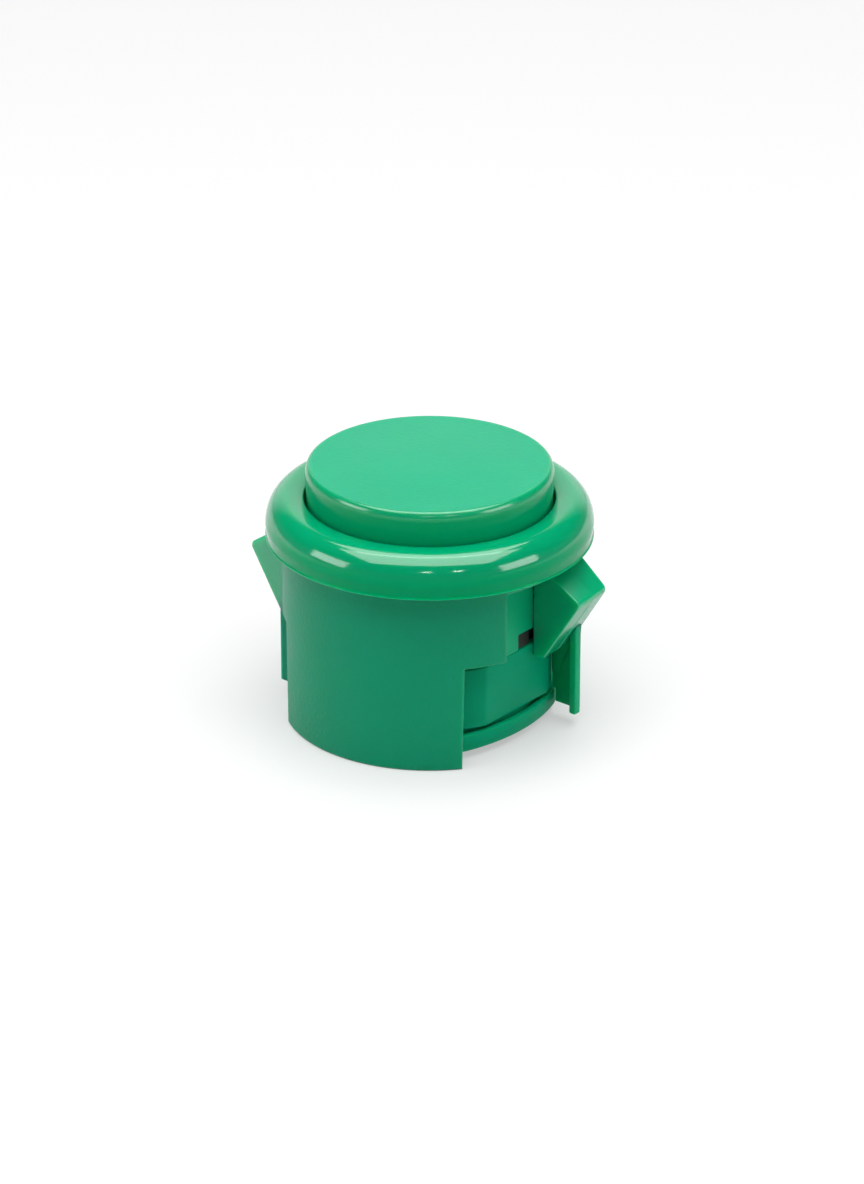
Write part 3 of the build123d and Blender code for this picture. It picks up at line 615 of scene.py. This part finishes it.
# Switch: a case and a cover moulded in black plastic that sit in the base's cradle, with a pin of
# white plastic in the cover that the plunger's stem pushes down.
switch_black = moulded_plastic(
    "switch_black", (0.014, 0.011, 0.011), roughness=0.5, grain=0.0002, grain_depth=0.00001, mottle=0.2,
    shine=0.5, tint_level=1, glow=0,
)
actuator_white = moulded_plastic(
    "actuator_white", (0.78, 0.76, 0.7), roughness=0.4, grain=0.0003, grain_depth=0.000006, shine=0.5,
    tint_level=1, glow=0.1,
)


def finish_nodes(material, *names):
    """Material for CAD nodes, in place of the one they came with."""
    for name in names:
        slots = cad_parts[name].data.materials
        slots.clear()
        slots.append(material)


finish_nodes(switch_black, "switch_case", "switch_cover")
finish_nodes(actuator_white, "actuator")

# Terminals, contacts and lever: brass blades stamped from strip, with riveted silver buttons and
# an arm of thin spring bronze that rocks on the common blade.


def worked_metal(name, colour, roughness, streak):
    """Metal with streaks of drawing or rolling: noise stretched along one axis drives the colour a
    little and the gloss more."""
    material = bpy.data.materials.new(name)
    material.use_nodes = True
    tree = material.node_tree
    shader = tree.nodes["Principled BSDF"]
    shader.inputs["Metallic"].default_value = 1.0
    place = tree.nodes.new("ShaderNodeTexCoord").outputs["Object"]
    stretch = wired(tree, "ShaderNodeMapping", {"Scale": streak}, {"Vector": place})
    lines = wired(
        tree, "ShaderNodeTexNoise", {"Scale": 1, "Detail": 3}, {"Vector": stretch.outputs["Vector"]},
    )
    tarnish = [c * 0.82 for c in colour]
    tree.links.new(two_tones(tree, tarnish, colour, lines.outputs["Fac"]), shader.inputs["Base Color"])
    gloss = wired(
        tree, "ShaderNodeMapRange", {"To Min": roughness * 0.7, "To Max": roughness * 1.4},
        {"Value": lines.outputs["Fac"]},
    )
    tree.links.new(gloss.outputs["Result"], shader.inputs["Roughness"])
    return material


rolled = (900, 9000, 900)
terminal_brass = worked_metal("terminal_brass", (0.78, 0.58, 0.26), roughness=0.28, streak=rolled)
lever_bronze = worked_metal("lever_bronze", (0.72, 0.48, 0.25), roughness=0.3, streak=rolled)
contact_silver = worked_metal(
    "contact_silver", (0.86, 0.85, 0.82), roughness=0.2, streak=(4000, 4000, 4000),
)
finish_nodes(terminal_brass, "common_terminal", "contact_terminal")
finish_nodes(lever_bronze, "contact_lever")
finish_nodes(contact_silver, "moving_contact", "fixed_contact")

# Springs: steel wire wound on a mandrel. The large one returns the plunger, the fine one sits in
# the actuator's bore and presses the lever over.
spring_steel = worked_metal(
    "spring_steel", (0.62, 0.62, 0.61), roughness=0.25, streak=(5000, 5000, 1500),
)


def coil(name, radius, wire, turns, bottom, top, body, node):
    """Wire of circular section carried along a helix between two heights."""
    climb = top - bottom - wire
    share = np.linspace(0, 1, turns * 48 + 1)
    angle = 2 * np.pi * turns * share
    cosine, sine = np.cos(angle), np.sin(angle)
    middle = np.stack((radius * cosine, radius * sine, bottom + wire / 2 + climb * share), -1)
    outward = np.stack((cosine, sine, np.zeros_like(angle)), -1)
    ahead = np.stack((-sine, cosine, np.full_like(angle, climb / (2 * np.pi * turns * radius))), -1)
    ahead /= np.linalg.norm(ahead, axis=1, keepdims=True)
    upward = np.cross(outward, ahead)
    round_wire = np.linspace(0, 2 * np.pi, 14, endpoint=False)[None, :, None]
    offset = np.cos(round_wire) * outward[:, None] + np.sin(round_wire) * upward[:, None]
    loops = middle[:, None] + wire / 2 * offset
    moulding(name, [(skin(loops), 0)], [spring_steel], body, node)


coil(
    "return_spring_wire", radius=3.6, wire=0.5, turns=6, bottom=13.45, top=25.55, body="frame",
    node="return_spring",
)
coil(
    "lever_spring_wire", radius=0.65, wire=0.2, turns=6, bottom=9.93, top=14.47, body="actuator",
    node="lever_spring",
)

# Floor and light: a white floor, with a large softbox over the button and another behind it, a
# smaller one low on each side for the bead's ends, two bright ones for the marks along the bead,
# and a pale wall behind.
floor_reach = 3
floor_mesh = bpy.data.meshes.new("floor")
floor_mesh.from_pydata(
    [(-floor_reach, -floor_reach, 0), (floor_reach, -floor_reach, 0), (floor_reach, floor_reach, 0),
     (-floor_reach, floor_reach, 0)],
    [], [(0, 1, 2, 3)],
)
floor = bpy.data.objects.new("floor", floor_mesh)
bpy.context.scene.collection.objects.link(floor)
floor_white = bpy.data.materials.new("floor_white")
floor_white.use_nodes = True
tree = floor_white.node_tree
shader = tree.nodes["Principled BSDF"]
shader.inputs["Base Color"].default_value = (0.5, 0.5, 0.5, 1)
shader.inputs["Roughness"].default_value = 0.6
shader.inputs["Specular IOR Level"].default_value = 0.2
shader.inputs["Emission Color"].default_value = (1, 1, 1, 1)
floor_lift = 0.425
rays = tree.nodes.new("ShaderNodeLightPath").outputs
seen = wired(tree, "ShaderNodeMath", {}, {0: rays["Is Camera Ray"], 1: rays["Is Glossy Ray"]})
seen.operation = "ADD"
through = wired(
    tree, "ShaderNodeMath", {}, {0: seen.outputs["Value"], 1: rays["Is Transmission Ray"]},
)
through.operation = "ADD"
lift = wired(tree, "ShaderNodeMath", {1: floor_lift}, {0: through.outputs["Value"]})
lift.operation = "MULTIPLY"
tree.links.new(lift.outputs["Value"], shader.inputs["Emission Strength"])
floor_mesh.materials.append(floor_white)

view_azimuth, view_elevation = 39.67, 24.85
world = bpy.data.worlds.new("studio")
bpy.context.scene.world = world
world.use_nodes = True
tree = world.node_tree
sky = tree.nodes["Background"]
sky.inputs["Color"].default_value = (1, 1, 1, 1)
way = tree.nodes.new("ShaderNodeTexCoord").outputs["Generated"]
back_wall = (-np.sin(np.radians(view_azimuth)), np.cos(np.radians(view_azimuth)), 0)
behind = wired(tree, "ShaderNodeVectorMath", {1: back_wall}, {0: way})
behind.operation = "DOT_PRODUCT"
wall = wired(
    tree, "ShaderNodeMapRange", {"From Min": 0.72, "From Max": 0.97, "To Min": 0.02, "To Max": 1.0},
    {"Value": behind.outputs["Value"]},
)
wall.interpolation_type = "SMOOTHSTEP"
rise = wired(tree, "ShaderNodeSeparateXYZ", {}, {"Vector": way})
haze = wired(
    tree, "ShaderNodeMapRange", {"From Min": 0.0, "From Max": 0.4, "To Min": 0.15, "To Max": 0.0},
    {"Value": rise.outputs["Z"]},
)
haze.interpolation_type = "SMOOTHSTEP"
room = wired(tree, "ShaderNodeMath", {}, {0: wall.outputs["Result"], 1: haze.outputs["Result"]})
room.operation = "MAXIMUM"
tree.links.new(room.outputs["Value"], sky.inputs["Strength"])


def direction(azimuth, elevation):
    """Unit vector from the button towards a place, with angles in radians from -Y and the floor."""
    flat = np.cos(elevation)
    return np.array([flat * np.sin(azimuth), -flat * np.cos(azimuth), np.sin(elevation)])


def softbox(name, beside, elevation, reach, width, height, level):
    """Rectangular lamp that faces the button's middle, in degrees beside the camera's azimuth and
    above the floor, with its brightness given as a level where 1 looks like sunlit white."""
    spin, rise = np.radians(view_azimuth + beside), np.radians(elevation)
    button_middle = np.array([0, 0, 0.014])
    lamp = bpy.data.lights.new(name, "AREA")
    lamp.shape = "RECTANGLE"
    lamp.size, lamp.size_y = width, height
    lamp.energy = level * np.pi * width * height
    holder = bpy.data.objects.new(name, lamp)
    holder.location = Vector(direction(spin, rise) * reach + button_middle)
    holder.rotation_euler = (np.pi / 2 - rise, 0, spin)
    bpy.context.scene.collection.objects.link(holder)


softbox("overhead", beside=0, elevation=75, reach=0.63, width=0.95, height=0.56, level=2.85)
softbox("rear", beside=0, elevation=106, reach=0.63, width=0.6, height=0.3, level=3.0)
for name, beside in (("left_side", -73), ("right_side", 64)):
    softbox(name, beside, elevation=15, reach=0.6, width=0.3, height=0.19, level=3.4)
for name, beside in (("left_glint", -2.6), ("right_glint", 20)):
    softbox(name, beside, elevation=27.5, reach=0.62, width=0.056, height=0.02, level=20.0)

# Camera: a long lens at the photograph's height and angle, aimed slightly below the button's
# middle. Its focal length comes from the picture's scale in pixels.
camera_reach, target = 0.546, np.array([0, 0, 0.0135])
aim_right, aim_down = 0.000232, 0.000615
focal_pixels, picture_rows, sensor = 5413, 1184, 36
azimuth = np.radians(view_azimuth)
away = direction(azimuth, np.radians(view_elevation))
right = np.array([np.cos(azimuth), np.sin(azimuth), 0])
aim = target + aim_right * right - aim_down * np.cross(away, right)
lens = bpy.data.cameras.new("camera")
lens.sensor_width = sensor
lens.lens = sensor * focal_pixels / picture_rows
lens.clip_start = 0.01
camera = bpy.data.objects.new("camera", lens)
camera.location = Vector(target + camera_reach * away)
camera.rotation_euler = (Vector(aim) - camera.location).to_track_quat("-Z", "Y").to_euler()
bpy.context.scene.collection.objects.link(camera)
bpy.context.scene.camera = camera
bpy.context.scene.view_settings.view_transform = "Standard"
